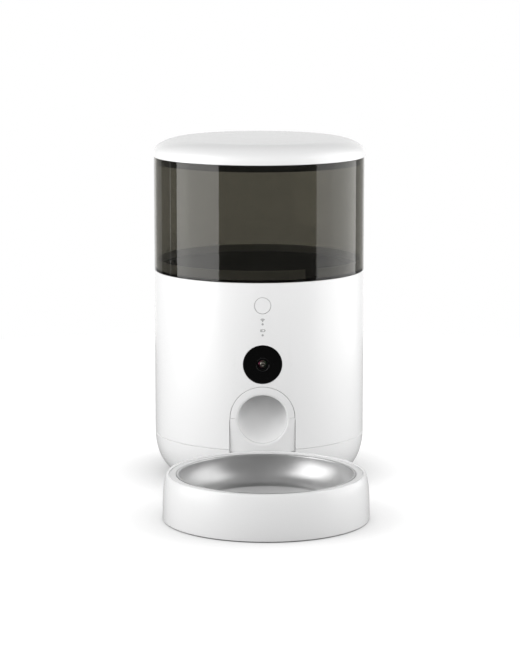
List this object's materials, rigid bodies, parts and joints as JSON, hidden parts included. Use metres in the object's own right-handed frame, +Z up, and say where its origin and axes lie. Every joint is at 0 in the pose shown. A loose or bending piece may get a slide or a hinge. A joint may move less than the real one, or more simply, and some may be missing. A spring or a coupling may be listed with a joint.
{
  "type": "automatic pet feeder",
  "caption": "Drum-shaped automatic pet feeder with a lidded smoked food tank, portion rotor, front camera and outlet, and a steel bowl in a stand.",
  "frame": {"origin": "middle of the footprint, on the surface that the feeder and the bowl stand rest on", "axes": "+Z up, -Y towards the front where the outlet and the bowl are, +X to the right as seen from the front"},
  "size_m": [0.2016, 0.3844, 0.3268],
  "materials": {
    "white_plastic": "satin gloss moulded",
    "liner_plastic": "fine matte",
    "ring_plastic": "satin",
    "grey_plastic": "fine matte",
    "black_plastic": "satin",
    "window_black": "polished",
    "smoked_plastic": "polished, smoked",
    "lens_glass": "coated",
    "light_pipe": "frosted",
    "bowl_steel": "satin drawn",
    "screw_steel": "bright",
    "motor_steel": "rolled",
    "brass": "turned",
    "rubber": "matte",
    "rotor_plastic": "fine matte",
    "gear_plastic": "satin",
    "board_green": "lacquered",
    "cell_jacket": "printed sleeve",
    "bag_fabric": "non-woven"
  },
  "bodies": {
    "feeder": {"base_shell": "white_plastic", "battery_cover": "white_plastic", "cover_screw": "screw_steel", "battery_contacts": "screw_steel", "backup_cells": "cell_jacket", "rubber_feet": "rubber", "base_screws": "screw_steel", "power_inlet": "black_plastic", "body_shell": "white_plastic", "hopper_deck": "grey_plastic", "portion_baffle": "grey_plastic", "chamber_floor": "grey_plastic", "chamber_screws": "screw_steel", "shaft_bush": "brass", "gear_cover": "grey_plastic", "gearmotor": "motor_steel", "motor_screws": "screw_steel", "chute": "white_plastic", "chute_cover": "white_plastic", "camera_window": "window_black", "camera_module": "black_plastic", "camera_lens": "lens_glass", "infrared_lamps": "black_plastic", "main_board": "board_green", "board_screws": "screw_steel", "button_switch": "black_plastic", "status_lamps": "light_pipe", "speaker": "black_plastic"},
    "tank": {"tank": "smoked_plastic", "funnel": "black_plastic", "funnel_ring": "grey_plastic"},
    "lid": {"lid": "white_plastic", "lid_liner": "liner_plastic", "lid_seal": "rubber", "desiccant_cup": "liner_plastic", "desiccant_bag": "bag_fabric"},
    "desiccant_cover": {"desiccant_cover": "liner_plastic"},
    "rotor": {"portion_rotor": "rotor_plastic", "stirrer": "rotor_plastic", "rotor_shaft": "screw_steel", "driven_gear": "gear_plastic"},
    "pinion": {"pinion": "gear_plastic", "motor_shaft": "screw_steel"},
    "feed_button": {"feed_button": "white_plastic"},
    "stand": {"bowl_stand": "white_plastic", "stand_base": "white_plastic", "stand_feet": "rubber", "bowl_ring": "ring_plastic"},
    "bowl": {"bowl": "bowl_steel"}
  },
  "joints": [
    {"name": "tank_lift", "type": "slide", "parent": "feeder", "child": "tank", "axis": [0, 0, 1], "range_m": [0, 0.06]},
    {"name": "lid_lift", "type": "slide", "parent": "tank", "child": "lid", "axis": [0, 0, 1], "range_m": [0, 0.07]},
    {"name": "desiccant_twist", "type": "hinge", "parent": "lid", "child": "desiccant_cover", "pos_m": [0, 0.09145, 0.297], "axis": [0, 0, 1], "range_deg": [0, 30]},
    {"name": "rotor_spin", "type": "hinge", "parent": "feeder", "child": "rotor", "pos_m": [0, 0.09145, 0.14], "axis": [0, 0, 1], "continuous": true},
    {"name": "pinion_spin", "type": "hinge", "parent": "feeder", "child": "pinion", "pos_m": [0, 0.11345, 0.118], "axis": [0, 0, 1], "continuous": true},
    {"name": "button_press", "type": "slide", "parent": "feeder", "child": "feed_button", "axis": [0, 1, 0], "range_m": [0, 0.001], "stiffness_N_per_m": 400, "springref_m": -0.0005},
    {"name": "stand_slide", "type": "slide", "parent": "feeder", "child": "stand", "axis": [0, -1, 0], "range_m": [0, 0.06]},
    {"name": "bowl_lift", "type": "slide", "parent": "stand", "child": "bowl", "axis": [0, 0, 1], "range_m": [0, 0.04]}
  ],
  "couplings": [
    {"joint": "pinion_spin", "follows": "rotor_spin", "ratio": -2.6667}
  ]
}
